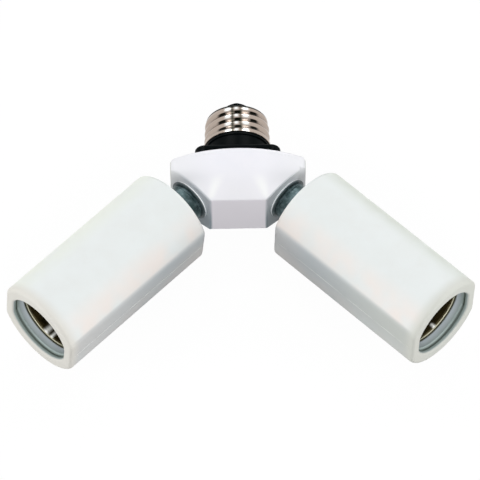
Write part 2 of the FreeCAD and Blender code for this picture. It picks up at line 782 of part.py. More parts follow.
def make_contact_block(prefix, side, roll):
    block = new_body(prefix + "contact_block")
    disc = sketch_in(block)
    draw_circle(disc, f"{SHELL_BORE} - 2 * fit_gap")
    draw_circle(disc, "rivet_shank_diameter")
    for sign in ("", "-"):
        draw_circle(disc, "small_screw_diameter", sign + "shell_screw_radius")
    pad(block, disc, "block_thickness")
    recess = sketch_in(block, height="tag_thickness")
    draw_rectangle(recess, "tag_start - fit_gap", f"({SHELL_BORE} / 2 - 2 * fit_gap)", "(tag_width / 2 + fit_gap)")
    pocket(block, recess, "tag_thickness")
    on_arm(block, side, block_back_at, roll)
    finish(prefix + "contact_block", block)


def make_lamp_shell(prefix, side, roll):
    """Rolled screw shell that takes the lamp, with its lip at the mouth and holes in its floor."""
    wall = value("sheet_wall")
    inside = value("lamp_thread_diameter - thread_depth") / 2
    lip = value("lamp_thread_diameter") / 2
    length = value("shell_length")
    top = length - value("shell_lip_height")
    thread_top = top - value("lamp_plain_length")
    thread_start = thread_top - value("lamp_thread_length")
    inner = thread_core(inside, thread_start, thread_top)
    outside = value(SHELL_BORE) / 2 - value("fit_gap")
    sleeve = turned_solid([(0, thread_start), (outside, thread_start), (outside, thread_top), (0, thread_top)])
    plain = [turned_solid([(inside, low), (inside + wall, low), (inside + wall, high), (inside, high)])
             for low, high in ((wall, thread_start), (thread_top, top))]
    opening = value("shell_floor_opening") / 2
    floor = turned_solid([(opening, 0), (inside + wall, 0), (inside + wall, wall), (opening, wall)])
    rim = turned_solid([(inside, top), (inside + wall, top), (lip + wall, length), (lip, length)])
    holes = [Part.makeCylinder(value("small_screw_diameter") / 2, wall, FreeCAD.Vector(x, 0, 0))
             for x in (-value("shell_screw_radius"), value("shell_screw_radius"))]
    shell = doc.addObject("Part::Feature", prefix + "screw_shell")
    shell.Shape = sleeve.cut(inner).fuse(plain + [floor, rim]).cut(holes).removeSplitter()
    on_arm(shell, side, block_front_at, roll)
    finish(prefix + "screw_shell", shell)


def make_lamp_contact(prefix, side, roll):
    """Brass tongue riveted on the axis and folded back over itself, its rivet and the shell's tag."""
    leaf = new_body(prefix + "contact_leaf")
    side_view = sketch_in(leaf, "XZ_Plane")
    thick = "leaf_thickness"
    fold = "leaf_fold_height"
    draw_outline(side_view, [
        ("0", "0"), ("leaf_length", "0"), (f"leaf_length + {thick}", thick), (f"leaf_length + {thick}", fold),
        ("leaf_crest", "leaf_rise"), ("leaf_end", "leaf_end_height"),
        ("leaf_end", f"leaf_end_height - {thick}"), ("leaf_crest", f"leaf_rise - {thick}"),
        ("leaf_length", fold), ("leaf_length", thick), ("0", thick)])
    pad(leaf, side_view, "leaf_width", True)
    hole = sketch_in(leaf, height=thick)
    draw_circle(hole, "rivet_shank_diameter", "leaf_tail")
    pocket(leaf, hole, thick)
    on_arm(leaf, side, block_front_at, roll, FreeCAD.Vector(-value("leaf_tail"), 0, 0))
    finish(prefix + "contact_leaf", leaf)

    through = "(rivet_tail_height + block_thickness + leaf_thickness)"
    rivet = turned(prefix + "contact_rivet", [
        ("0", "0"), ("rivet_tail_diameter / 2", "0"), ("rivet_tail_diameter / 2", "rivet_tail_height"),
        ("rivet_shank_diameter / 2", "rivet_tail_height"), ("rivet_shank_diameter / 2", through),
        ("rivet_head_diameter / 2", through), ("rivet_head_diameter / 2", through + " + rivet_side_height"),
        ("rivet_head_diameter / 4", through + " + rivet_head_height"), ("0", through + " + rivet_head_height")])
    on_arm(rivet, side, block_back_at - value("rivet_tail_height"), roll)

    tag = new_body(prefix + "neutral_tag")
    strip = sketch_in(tag)
    draw_rectangle(strip, "tag_start", "(chamber_diameter / 2 - fit_gap)", "(tag_width / 2)")
    draw_circle(strip, "small_screw_diameter", "shell_screw_radius")
    pad(tag, strip, "tag_thickness")
    on_arm(tag, side, block_back_at, roll)
    finish(prefix + "neutral_tag", tag)


def make_arm(prefix, side):
    roll = value(prefix + "roll")
    make_swivel(prefix, side, roll)
    make_socket_body(prefix, side, roll)
    make_contact_block(prefix, side, roll)
    make_lamp_shell(prefix, side, roll)
    make_lamp_contact(prefix, side, roll)
    seat = block_front_at + value("sheet_wall")
    reach = value("shell_screw_radius")
    places = [arm_place(side, seat, roll, FreeCAD.Vector(x, 0, 0)) for x in (-reach, reach)]
    screw_pair(prefix + "shell_screws", "shell_screw_length", places)


# Leads

# Part of a straight run that a bend may take up.
BEND_SHARE = 0.45


def tube(route, diameter):
    """Round wire along straight runs joined by tangent arcs, as large as the runs allow."""
    edges = []
    start = route[0]
    for before, corner, after in zip(route, route[1:], route[2:]):
        back = (before - corner).normalize()
        ahead = (after - corner).normalize()
        turn = math.pi - back.getAngle(ahead)
        shorter = min((before - corner).Length, (after - corner).Length)
        reach = BEND_SHARE * shorter
        radius = reach / math.tan(turn / 2)
        first = corner + back * reach
        last = corner + ahead * reach
        middle = corner + (back + ahead).normalize() * (math.hypot(radius, reach) - radius)
        edges.append(Part.LineSegment(start, first).toShape())
        edges.append(Part.Arc(first, middle, last).toShape())
        start = last
    edges.append(Part.LineSegment(start, route[-1]).toShape())
    path = Part.Wire(edges)
    section = Part.Wire(Part.Circle(route[0], route[1] - route[0], diameter / 2).toShape())
    return path.makePipeShell([section], True, False)


def make_leads(prefix, side):
    axis = arm_axis(side)
    meet = FreeCAD.Vector(0, arms_meet_y, 0)
    beside = side * value("lead_spacing")
    bend = meet + axis * (abs(beside) / abs(axis.x))
    rivet_end = block_back_at - value("rivet_tail_height + lead_gap")
    tag_end = block_back_at - value("lead_gap")
    tail_y = nose_height() - value("insulator_shank_length + contact_tail_height")
    wall_z = value("(base_thread_diameter - base_thread_taper) / 2 - thread_depth - sheet_wall - lead_gap")
    cross_y = value("neck_length + collar_sleeve_length + lead_diameter")
    for name, up, terminal in (("black_lead", 1, rivet_end), ("white_lead", -1, tag_end)):
        lift = FreeCAD.Vector(0, 0, up * value("lead_offset"))
        route = [meet + axis * terminal + lift, bend + lift]
        if up > 0:
            route.append(FreeCAD.Vector(beside, tail_y, lift.z))
        else:
            route.append(FreeCAD.Vector(beside, cross_y, lift.z))
            route.append(FreeCAD.Vector(beside, cross_y, -wall_z))
        lead = doc.addObject("Part::Feature", prefix + name)
        lead.Shape = tube(route, value("lead_diameter"))
        finish(prefix + name, lead)


make_hub()
make_base_collar()
make_base_shell()
make_tip()
make_collar_screws()
for prefix, side in (("left_", -1), ("right_", 1)):
    make_arm(prefix, side)
    make_leads(prefix, side)
doc.recompute()

for item in doc.Objects:
    if "Invalid" in item.State or "Error" in item.State:
        raise ValueError(f"{item.Name} failed: {item.State}")
os.makedirs("parts", exist_ok=True)
for piece in parts:
    shape = piece.Shape
    if shape.isNull() or not shape.isValid() or shape.Volume <= 0:
        raise ValueError(f"{piece.Label} has no valid solid")
    shape.exportStep(f"parts/{piece.Label}.step")
    print(piece.Label, len(shape.Solids), round(shape.Volume, 1))
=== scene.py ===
import math

import bmesh
import bpy
from mathutils import Matrix, Vector

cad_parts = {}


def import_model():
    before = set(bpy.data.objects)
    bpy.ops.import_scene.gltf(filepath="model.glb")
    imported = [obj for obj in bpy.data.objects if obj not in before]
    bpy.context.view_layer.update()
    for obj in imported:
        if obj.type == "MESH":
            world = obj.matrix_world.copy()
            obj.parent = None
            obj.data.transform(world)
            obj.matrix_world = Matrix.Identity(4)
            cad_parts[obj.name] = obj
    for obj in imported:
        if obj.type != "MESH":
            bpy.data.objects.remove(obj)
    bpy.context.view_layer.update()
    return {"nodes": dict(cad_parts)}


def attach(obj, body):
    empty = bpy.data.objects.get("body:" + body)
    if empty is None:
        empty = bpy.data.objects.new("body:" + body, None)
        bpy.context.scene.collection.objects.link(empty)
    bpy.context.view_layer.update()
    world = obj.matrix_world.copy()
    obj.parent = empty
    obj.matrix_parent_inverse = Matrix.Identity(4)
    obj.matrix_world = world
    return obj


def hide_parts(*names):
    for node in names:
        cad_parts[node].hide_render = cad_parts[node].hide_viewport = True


# Twin lamp socket adapter. Metres, in the part's own frame: +Y is the screw axis, z = 0 holds both
# socket axes, and the origin is the centre of the black flange's outer face. Pieces are drawn in
# millimetres, and the matrix of their place brings them to metres.

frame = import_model()

MM = 0.001
SIDES = {"left": -1, "right": 1}
ARM_ANGLE = math.radians(45)
ARMS_MEET = Vector((0, 3.8, 0)) * MM
SOCKET_ROLL = {"left": -6, "right": -2}

# Distances along an arm, from where the arms meet
STEM_FOOT_AT = 21.005
FACE_AT = 26.905
SOCKET_AT = 37.105
BLOCK_FRONT_AT = 76.805
SHELL_TOP_AT = 104.905
MOUTH_AT = 111.105

# Heights on the screw axis
HUB_FRONT_Y = -22.95
SHELL_FOOT_Y = 8.2
THREAD_FOOT_Y = 9.8
CONTACT_FOOT_Y = 17.6
INSULATOR_FOOT_Y = 18.4
NOSE_Y = 20.1

SOCKET_RADIUS = 19.7
SOCKET_FLAT = 18.0
SOCKET_LENGTH = 74.0
INNER_END = -0.5
MOUTH_RADIUS = 14.4
MOUTH_FLAT = 13.9
GROUND_Z = -19.75
SHEET_WALL = 0.3
PITCH = 3.629
THREAD_DEPTH = 0.84
CREST_RADIUS = 13.2
SOFT_CORNER = 0.4
MOULDED_EDGE = 24
MACHINED_EDGE = 30


# Places

def outward(side):
    """Direction from the hub along an arm."""
    return Vector((SIDES[side] * math.cos(ARM_ANGLE), -math.sin(ARM_ANGLE), 0))


def frontward(side):
    """Direction across an arm, level, towards the hub's front."""
    return Vector((-SIDES[side] * math.sin(ARM_ANGLE), -math.cos(ARM_ANGLE), 0))


def flat_way(side):
    """Direction square to the socket's front flat, with the socket's roll."""
    roll = Matrix.Rotation(-math.radians(SOCKET_ROLL[side]), 3, outward(side))
    return frontward(side) @ roll


def arm_place(side, distance):
    """Matrix to a place on an arm: Z outward, Y up before the socket's roll."""
    up = Vector((0, 0, 1))
    across = up.cross(outward(side))
    turn = Matrix((across, up, outward(side))).transposed().to_4x4()
    roll = Matrix.Rotation(math.radians(SOCKET_ROLL[side]), 4, "Z")
    spot = Matrix.Translation(ARMS_MEET + outward(side) * distance * MM)
    return spot @ turn @ roll @ Matrix.Scale(MM, 4)


def base_place(height):
    """Matrix to a place on the screw axis: Z along +Y."""
    turn = Matrix.Rotation(-math.pi / 2, 4, "X")
    return Matrix.Translation((0, height * MM, 0)) @ turn @ Matrix.Scale(MM, 4)


# Shader maths

class Value:
    """A shader socket that Python's operators turn into Math nodes."""

    def __init__(self, tree, socket):
        self.tree = tree
        self.socket = socket

    def maths(self, operation, *others):
        """Math node with this value first."""
        inputs = dict(enumerate((self, *others)))
        return self.tree.node("ShaderNodeMath", {"operation": operation}, inputs)

    def __add__(self, other):
        return self.maths("ADD", other)

    __radd__ = __add__

    def __mul__(self, other):
        return self.maths("MULTIPLY", other)

    __rmul__ = __mul__

    def __sub__(self, other):
        return self.maths("SUBTRACT", other)

    def __rsub__(self, other):
        return self.maths("MULTIPLY_ADD", -1.0, other)

    def __truediv__(self, other):
        return self.maths("DIVIDE", other)

    def __pow__(self, other):
        return self.maths("POWER", other)

    def __abs__(self):
        return self.maths("ABSOLUTE")

    def capped(self):
        """The value, or 1 where it is more."""
        return self.maths("MINIMUM", 1.0)

    def between(self, low, high):
        """0 at low and below, 1 at high and above, with a soft run between them."""
        settings = {"interpolation_type": "SMOOTHSTEP"}
        inputs = {"Value": self, "From Min": low, "From Max": high}
        return self.tree.node("ShaderNodeMapRange", settings, inputs)

    def near(self, spot, reach):
        """1 at a value and 0 where it is further off than a reach."""
        return 1 - abs(self - spot).between(0, reach)


def linear(shown):
    """Linear share of a screen's level of 0 to 255."""
    return shown / 255 / 12.92 if shown <= 10 else ((shown / 255 + 0.055) / 1.055) ** 2.4


def paint(red, green, blue):
    """Colour for a shader from the numbers that it shows as on the screen."""
    return (linear(red), linear(green), linear(blue), 1.0)


class Tree:
    """An emptied node tree of a material or a world, and the one way that nodes come into it."""

    def __init__(self, owner):
        owner.use_nodes = True
        self.links = owner.node_tree.links
        self.nodes = owner.node_tree.nodes
        self.nodes.clear()

    def node(self, kind, settings=None, inputs=None, output=0):
        """New node of any kind; gives one of its outputs, if it has any."""
        made = self.nodes.new(kind)
        for name, setting in (settings or {}).items():
            setattr(made, name, setting)
        for name, value in (inputs or {}).items():
            self.feed(made.inputs[name], value)
        return Value(self, made.outputs[output]) if made.outputs else None

    def feed(self, socket, value):
        """Link a value to a socket, or set a plain number or colour there."""
        if isinstance(value, Value):
            self.links.new(value.socket, socket)
        else:
            socket.default_value = value


class Finish(Tree):
    """A material under construction: one Principled shader and what feeds it."""

    def __init__(self, name, slot, **plain):
        self.slot = slot
        self.material = bpy.data.materials.new(name)
        super().__init__(self.material)
        shader = self.node("ShaderNodeBsdfPrincipled")
        self.node("ShaderNodeOutputMaterial", {}, {0: shader})
        self.shader = shader.socket.node
        self.set(**plain)

    def set(self, **inputs):
        """Link or set the shader's own sockets."""
        for name, value in inputs.items():
            socket = name.replace("_", " ").title().replace("Ior", "IOR")
            self.feed(self.shader.inputs[socket], value)
        return self

    def place(self):
        return self.node("ShaderNodeTexCoord", output="Object")

    def vector_maths(self, operation, first, second=None, output=0):
        inputs = {0: first} if second is None else {0: first, 1: second}
        return self.node("ShaderNodeVectorMath", {"operation": operation}, inputs, output)

    def along(self, direction):
        """Distance in millimetres along a direction, from where the arms meet."""
        offset = self.vector_maths("SUBTRACT", self.place(), ARMS_MEET)
        return self.vector_maths("DOT_PRODUCT", offset, direction, "Value") / MM

    def off_arm(self, side):
        """Distance in millimetres from an arm's axis."""
        offset = self.vector_maths("SUBTRACT", self.place(), ARMS_MEET)
        across = self.vector_maths("CROSS_PRODUCT", offset, outward(side))
        return self.vector_maths("LENGTH", across, output="Value") / MM

    def coordinate(self, axis):
        """The place's X, Y or Z in millimetres."""
        return self.node("ShaderNodeSeparateXYZ", {}, {0: self.place()}, axis) / MM

    def noise(self, size, detail=3.0, rough=0.5):
        """Noise from about 0 to 1, with blobs of a size in millimetres."""
        inputs = {"Vector": self.place(), "Scale": 1 / (size * MM)}
        inputs.update({"Detail": detail, "Roughness": rough})
        return self.node("ShaderNodeTexNoise", {}, inputs, "Fac")

    def blend(self, factor, first, second):
        """Mix of two colours."""
        inputs = {"Factor": factor, "A": first, "B": second}
        return self.node("ShaderNodeMix", {"data_type": "RGBA"}, inputs, "Result")

    def bump(self, height, depth):
        """Relief from a height of 0 to 1 that stands for a depth in millimetres."""
        relief = self.node("ShaderNodeBump", {}, {"Distance": depth * MM, "Height": height})
        return self.set(Normal=relief)


# Finishes

def moulded_white(name, pale, shade, rough, grain, tints, **plain):
    """Moulded plastic: faint clouds in the colour, a fine satin grain, uneven gloss.

    Each tint is a function that gives its strength over the finish, and its colour."""
    finish = Finish(name, "white_plastic", **plain)
    clouds = finish.noise(9, 4).between(0.3, 0.7)
    smudges = finish.noise(3.5, 5, 0.6).between(0.45, 0.75)
    colour = finish.blend(clouds * 0.6 + smudges * 0.25, pale, shade)
    for strength, tint in tints:
        colour = finish.blend(strength(finish), colour, tint)
    finish.set(base_color=colour, roughness=rough + smudges * 0.08)
    return finish.bump(finish.noise(0.35, 2), grain)


def socket_white(side):
    """Satin white with painted light and shade: warm painted shade at the rim, painted shade on
    the far side and the front flat, warm painted light on the near side, a painted highlight on
    the parting line, and bluish-grey painted shade in the bore behind the mouth.
    """
    # Colours of painted shade, darker on the right socket than on the left.
    mouth_shade = {"left": paint(204, 203, 201), "right": paint(194, 197, 190)}[side]
    far_shade = {"left": paint(231, 235, 224), "right": paint(206, 211, 199)}[side]
    rim_shade = {"left": paint(218, 215, 207), "right": paint(207, 208, 200)}[side]

    def outwards(finish):
        return finish.along(outward(side))

    def to_flat(finish):
        return finish.along(flat_way(side))

    # Warm painted shade at the rim, darker on the right.
    def shaded_rim(finish):
        return outwards(finish).between(MOUTH_AT - 6, MOUTH_AT - 0.5) * 0.9

    # Warm painted light on the side towards the front flat, patchy with noise.
    def warm_lit_side(finish):
        return to_flat(finish).between(7, 16) * finish.noise(16, 2).between(0.3, 0.6) * 0.7

    # Painted shade on the far side, a faint greenish tinge on the left and darker on the right,
    # patchy with noise.
    def shaded_far_side(finish):
        far = 1 - to_flat(finish).between(-16, -6)
        return far * finish.noise(13, 2).between(0.0, 0.6) * 0.75

    # Painted shade on the front flat, stronger high up and further out along the arm.
    def shaded_front_flat(finish):
        high = 0.6 + 0.4 * finish.coordinate("Z").between(-7, 3)
        outer = 0.7 + 0.3 * outwards(finish).between(SOCKET_AT, SOCKET_AT + 22)
        return to_flat(finish).between(16.7, 17.9) * high * outer

    # More painted shade on the front flat towards the mouth.
    def shaded_flat_at_mouth(finish):
        return shaded_front_flat(finish) * outwards(finish).between(SOCKET_AT + 8, MOUTH_AT - 2) * 0.8

    # Painted highlight along the raised parting line on each flat, patchy with noise.
    def parting_line_highlight(finish):
        out = to_flat(finish).between(SOCKET_FLAT, SOCKET_FLAT + 0.08)
        return out * (finish.noise(9, 3).between(0.35, 0.6) * 0.7 + 0.2)

    # Bluish-grey painted shade inside the bore behind the mouth.
    def shaded_bore(finish):
        inside = 1 - finish.off_arm(side).between(14.5, 14.9)
        inside = inside * outwards(finish).between(SOCKET_AT + 33, SOCKET_AT + 34)
        return inside * (1 - outwards(finish).between(MOUTH_AT - 1.1, MOUTH_AT - 0.2))

    # Darker greenish painted shade on the recess wall behind the rim.
    def shaded_recess(finish):
        return shaded_bore(finish) * outwards(finish).between(MOUTH_AT - 5.5, MOUTH_AT - 2)

    # Painted shadow in the fine groove behind the rim.
    def groove_shadow(finish):
        return shaded_bore(finish) * outwards(finish).near(MOUTH_AT - 2, 0.75)

    # Dark painted shade in the throat, where the lamp shell's lip sits.
    def shaded_throat(finish):
        beyond = outwards(finish).between(SHELL_TOP_AT + 0.2, SHELL_TOP_AT + 0.9)
        return shaded_bore(finish) * (1 - beyond)

    # Painted light and shade: warm light on the near side, shade on the far side, the front flat
    # and the rim, a highlight on the parting line, and shade and shadow inside the bore.
    tints = [(warm_lit_side, paint(239, 227, 220)), (shaded_far_side, far_shade),
             (shaded_front_flat, paint(185, 191, 194)), (shaded_flat_at_mouth, mouth_shade),
             (parting_line_highlight, paint(226, 228, 225)), (shaded_rim, rim_shade),
             (shaded_bore, paint(206, 215, 221)), (shaded_recess, paint(156, 170, 165)),
             (groove_shadow, paint(43, 52, 37)), (shaded_throat, paint(58, 58, 41))]
    pale, shade = paint(228, 232, 231), paint(225, 228, 226)
    return moulded_white(side + "_socket_plastic", pale, shade, 0.55, 0.012, tints,
                         specular_ior_level=0.3)


def hub_white():
    """Smoother white with painted light and shade: painted highlights and coat gloss on ridges
    from the front corners, painted light near the front, painted shade on the front face, the
    shoulders, the walls and round the stems.
    """
    # Colours of painted shade, darker on the right.
    stem_shade = {"left": paint(125, 140, 150), "right": paint(95, 112, 119)}
    wall_shade = {"left": paint(178, 181, 172), "right": paint(148, 160, 154)}

    def behind_front(finish):
        return finish.coordinate("Y") - HUB_FRONT_Y

    # Painted light near the hub's front.
    def lit_front(finish):
        return 1 - behind_front(finish).between(3, 15)

    # Painted shade on the front face.
    def shaded_front_face(finish):
        return 1 - behind_front(finish).between(0.1, 0.35)

    # Painted shade on the shoulders towards the sides.
    def shaded_shoulder(finish):
        return abs(finish.coordinate("X")).between(8, 24) * 0.9

    # Painted shade on the side walls.
    def shaded_wall(side):
        return lambda finish: (finish.coordinate("X") * SIDES[side]).between(26.3, 26.7)

    # Painted highlight along a ridge from each front corner; it also sets the coat's gloss there.
    def ridge_highlight_and_gloss(finish):
        across = abs(finish.coordinate("X"))
        back = behind_front(finish)
        ridge = (across + back * 0.35).near(11.2, back * 0.3 + 1.6)
        return ridge * back.between(0, 2) * (1 - back.between(5, 11))

    # Painted shade on each angled face round the stem, stronger low down.
    def shade_round_stem(side):
        def strength(finish):
            face = finish.along(outward(side)).between(FACE_AT - 0.8, FACE_AT - 0.1)
            level = 0.5 + 0.5 * (1 - finish.coordinate("Z").between(-6, 9))
            return face * finish.along(frontward(side)).between(-10, 5) * level
        return strength

    tints = [(lit_front, paint(245, 244, 248)), (shaded_shoulder, paint(226, 226, 229)),
             (ridge_highlight_and_gloss, paint(255, 255, 255)), (shaded_front_face, paint(231, 227, 233))]
    tints += [(shade_round_stem(side), stem_shade[side]) for side in SIDES]
    tints += [(shaded_wall(side), wall_shade[side]) for side in SIDES]
    pale, shade = paint(238, 237, 242), paint(234, 234, 240)
    finish = moulded_white("hub_plastic", pale, shade, 0.3, 0.006, tints)
    return finish.set(coat_weight=ridge_highlight_and_gloss(finish))


def black_plastic(name, gloss):
    """Near-black moulding with a breath of dust."""
    finish = Finish(name, "black_plastic", specular_ior_level=gloss)
    dust = finish.noise(1.6, 5, 0.65).between(0.52, 0.8)
    finish.set(base_color=finish.blend(dust * 0.3, paint(5, 9, 10), paint(28, 40, 42)))
    finish.set(roughness=0.34 + dust * 0.2)
    return finish.bump(finish.noise(0.4, 3), 0.02)


def thread_valley(finish):
    """1 along the valley of the base's thread and 0 on its crest."""
    angle = (finish.coordinate("Z") * -1).maths("ARCTAN2", finish.coordinate("X"))
    turns = angle - (finish.coordinate("Y") - THREAD_FOOT_Y) * (2 * math.pi / PITCH)
    return 0.5 - 0.5 * turns.maths("COSINE")


def base_plate():
    """Warm nickel plate with painted reflections: painted highlights on the crests, painted dark
    reflections and painted shade in the valleys, dark nose.
    """
    finish = Finish("base_nickel", "plated_shell", specular_ior_level=0.02)
    fine = finish.noise(0.5, 3)
    wear = finish.noise(2.2, 5, 0.6).between(0.4, 0.8)
    valley = thread_valley(finish)
    across = finish.coordinate("X") / CREST_RADIUS
    # Painted dark reflections in the valleys at three places across the shell, stronger with the
    # wear noise.
    dark_reflections = across.near(0.02, 0.2) + across.near(-0.44, 0.2) + across.near(0.5, 0.2)
    dark_reflections = dark_reflections * valley.between(0.5, 0.8) * (1.4 + 0.6 * wear)
    # Painted highlights on the crests, left and right of the middle, and a narrow one in the
    # middle.
    painted_highlights = across.near(-0.27, 0.15) + across.near(0.26, 0.15)
    painted_highlights = painted_highlights * (1 - valley.between(0.25, 0.65)) * 1.2
    painted_highlights = painted_highlights + across.near(-0.02, 0.1) * (1 - valley.between(0.2, 0.4))
    # Painted dark reflections as two thin lines along the shell.
    edges = across.near(-0.14, 0.09) * 0.85 + across.near(0.11, 0.08) * 0.6
    nose = finish.coordinate("Y").between(NOSE_Y, NOSE_Y + 0.5)
    colour = finish.blend(fine * 0.5, paint(184, 170, 159), paint(166, 152, 141))
    # Painted shade in the thread's valleys.
    colour = finish.blend(valley ** 5 * 0.35, colour, paint(120, 108, 98))
    colour = finish.blend(dark_reflections.capped(), colour, paint(14, 14, 9))
    colour = finish.blend(painted_highlights.capped(), colour, paint(252, 255, 253))
    colour = finish.blend(edges, colour, paint(26, 36, 22))
    finish.set(base_color=finish.blend(nose, colour, paint(14, 17, 11)), metallic=1 - nose)
    finish.set(roughness=0.12 + wear * 0.06 + fine * 0.04)
    return finish.bump(fine, 0.008)


def lamp_sheet(side):
    """Dull rolled sheet deep in the mouth: painted shade keeps it dark olive below its pale lip,
    with painted highlights in stripes.
    """
    finish = Finish(side + "_lamp_shell_sheet", "lamp_shell")
    fine = finish.noise(0.5, 3)
    age = finish.noise(2.6, 5, 0.6).between(0.4, 0.75)
    outwards = finish.along(outward(side))
    across = finish.along(frontward(side))
    lip = outwards.between(SHELL_TOP_AT - 0.4, SHELL_TOP_AT - 0.25)
    # Painted highlights in stripes on the inner wall, where the metal is made pale and less
    # metallic.
    if side == "left":
        highlight_streak = (across.near(-3.2, 1.9) + across.near(-0.2, 1.3)).capped()
    else:
        highlight_streak = across.near(-2.3, 1.3)
        highlight_streak = highlight_streak * outwards.between(SHELL_TOP_AT - 2.8, SHELL_TOP_AT - 1.8)
    highlight_streak = highlight_streak * (1 - finish.coordinate("Z").between(-11, -9)) * (1 - lip)
    # Dark olive painted shade deep in the mouth, mottled by the age noise.
    sheet = finish.blend(age, paint(78, 68, 40), paint(34, 28, 10))
    sheet = finish.blend(highlight_streak, sheet, paint(255, 255, 250))
    finish.set(base_color=finish.blend(lip, sheet, paint(206, 203, 178)))
    finish.set(metallic=0.7 - highlight_streak * 0.6, roughness=0.2 + age * 0.14 + fine * 0.04)
    return finish.bump(fine, 0.008)


def turned_zinc(side):
    """Dark zinc-plated steel with fine lathe lines round the arm's axis and a mottled bloom."""
    finish = Finish(side + "_stem_zinc", "zinc", metallic=0.85)
    inputs = {"W": finish.along(outward(side)), "Scale": 6.0, "Detail": 4.0}
    lines = finish.node("ShaderNodeTexNoise", {"noise_dimensions": "1D"}, inputs, "Fac")
    bloom = finish.noise(2.4, 5, 0.6).between(0.4, 0.75)
    specks = finish.noise(0.9, 4, 0.7).between(0.6, 0.75)
    tone = finish.blend(bloom, paint(60, 78, 80), paint(116, 134, 138))
    tone = finish.blend(specks * 0.6, tone, paint(160, 168, 188))
    finish.set(base_color=finish.blend(lines * 0.35, tone, paint(40, 56, 52)))
    finish.set(roughness=0.34 + bloom * 0.14)
    return finish.bump(lines, 0.02)


def plain_metal(name, slot, bright, dull, rough):
    finish = Finish(name, slot, metallic=1.0)
    wear = finish.noise(1.5, 4).between(0.35, 0.75)
    finish.set(base_color=finish.blend(wear, bright, dull), roughness=rough + wear * 0.15)
    return finish.bump(finish.noise(0.3, 3), 0.01)


def contact_solder():
    """Dull dark solder, greened with age."""
    finish = Finish("contact_solder", "solder", specular_ior_level=0.0)
    age = finish.noise(1.2, 4).between(0.35, 0.75)
    finish.set(base_color=finish.blend(age, paint(26, 34, 24), paint(12, 18, 11)))
    finish.set(roughness=0.45 + age * 0.15)
    return finish.bump(finish.noise(0.4, 3), 0.04)


def plain_insulation(name, slot, pale, shade, rough, grain=0.01):
    finish = Finish(name, slot)
    clouds = finish.noise(1.8, 4).between(0.3, 0.75)
    finish.set(base_color=finish.blend(clouds, pale, shade), roughness=rough + clouds * 0.1)
    return finish.bump(finish.noise(0.25, 3), grain)


def washer_nylon(side):
    """Washer with its face greyed by painted shade; its outer wall stays pale."""
    finish = Finish(side + "_washer_nylon", "nylon")
    clouds = finish.noise(1.8, 4).between(0.3, 0.75)
    # Painted shade greys the washer's face.
    face = finish.blend(clouds, paint(104, 116, 120), paint(82, 94, 98))
    foot = 1 - finish.along(outward(side)).between(FACE_AT + 0.35, FACE_AT + 0.55)
    wall = finish.off_arm(side).between(8.65, 8.85) * foot
    finish.set(base_color=finish.blend(wall, face, paint(250, 252, 252)))
    finish.set(roughness=0.4 + clouds * 0.1)
    return finish.bump(finish.noise(0.25, 3), 0.01)


# Objects

def added(name, data):
    """New object in the scene, unturned at the origin."""
    thing = bpy.data.objects.new(name, data)
    bpy.context.scene.collection.objects.link(thing)
    return thing


def written(form, mesh):
    """The mesh, filled from a bmesh that isn't needed any more."""
    form.to_mesh(mesh)
    form.free()
    return mesh


def dress(name, mesh, body, finish, replaced, sharp):
    """Object with its finish, riding on a body in the place of CAD nodes."""
    thing = added(name, mesh)
    mesh.materials.clear()
    mesh.materials.append(finish.material)
    mesh.shade_smooth()
    mesh.set_sharp_from_angle(angle=math.radians(sharp))
    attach(thing, body)
    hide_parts(*replaced)
    return thing


def piece(name, form, place, body, finish, replaced):
    """Object from a bmesh drawn in millimetres; its place goes into the mesh."""
    bmesh.ops.remove_doubles(form, verts=form.verts, dist=1e-4)
    bmesh.ops.recalc_face_normals(form, faces=form.faces)
    form.transform(place)
    mesh = written(form, bpy.data.meshes.new(name))
    return dress(name, mesh, body, finish, replaced, MACHINED_EDGE)


def even_shading(thing):
    """Weighted normals, so that wide faces and their small roundings shade as one surface."""
    level = thing.modifiers.new("even_shading", "WEIGHTED_NORMAL")
    level.keep_sharp = True


def merged_mesh(node):
    """Copy of a CAD node's mesh with its triangles joined up."""
    mesh = frame["nodes"][node].data.copy()
    form = bmesh.new()
    form.from_mesh(mesh)
    bmesh.ops.remove_doubles(form, verts=form.verts, dist=1e-7)
    return written(form, mesh)


def one_skin(first, second):
    """Mesh of two flush pieces as one, with the line between them gone."""
    base, other = (added(node + "_part", merged_mesh(node)) for node in (first, second))
    join = base.modifiers.new("join", "BOOLEAN")
    join.operation = "UNION"
    join.object = other
    ready = base.evaluated_get(bpy.context.evaluated_depsgraph_get())
    mesh = bpy.data.meshes.new_from_object(ready)
    for part in (base, other):
        bpy.data.objects.remove(part)
    form = bmesh.new()
    form.from_mesh(mesh)
    bmesh.ops.remove_doubles(form, verts=form.verts, dist=2e-6)
    bmesh.ops.dissolve_limit(form, angle_limit=math.radians(0.8), verts=form.verts,
                             edges=form.edges)
    bmesh.ops.triangulate(form, faces=form.faces)
    return written(form, mesh)


# Modelling

def turned(profile, steps=96):
    """Ring or shaft spun about Z from a closed profile of (radius, height)."""
    form = bmesh.new()
    start = [form.verts.new((radius, 0, height)) for radius, height in profile]
    edges = [form.edges.new(pair) for pair in zip(start, start[1:] + start[:1])]
    bmesh.ops.spin(form, geom=start + edges, axis=(0, 0, 1), cent=(0, 0, 0), angle=2 * math.pi,
                   steps=steps, use_merge=True)
    return form


def fine_run(first, last, step):
    """Points from first towards last, at most a step apart in height, without the last."""
    count = max(1, math.ceil(abs(last[1] - first[1]) / step))
    return [(first[0] + (last[0] - first[0]) * i / count,
             first[1] + (last[1] - first[1]) * i / count) for i in range(count)]


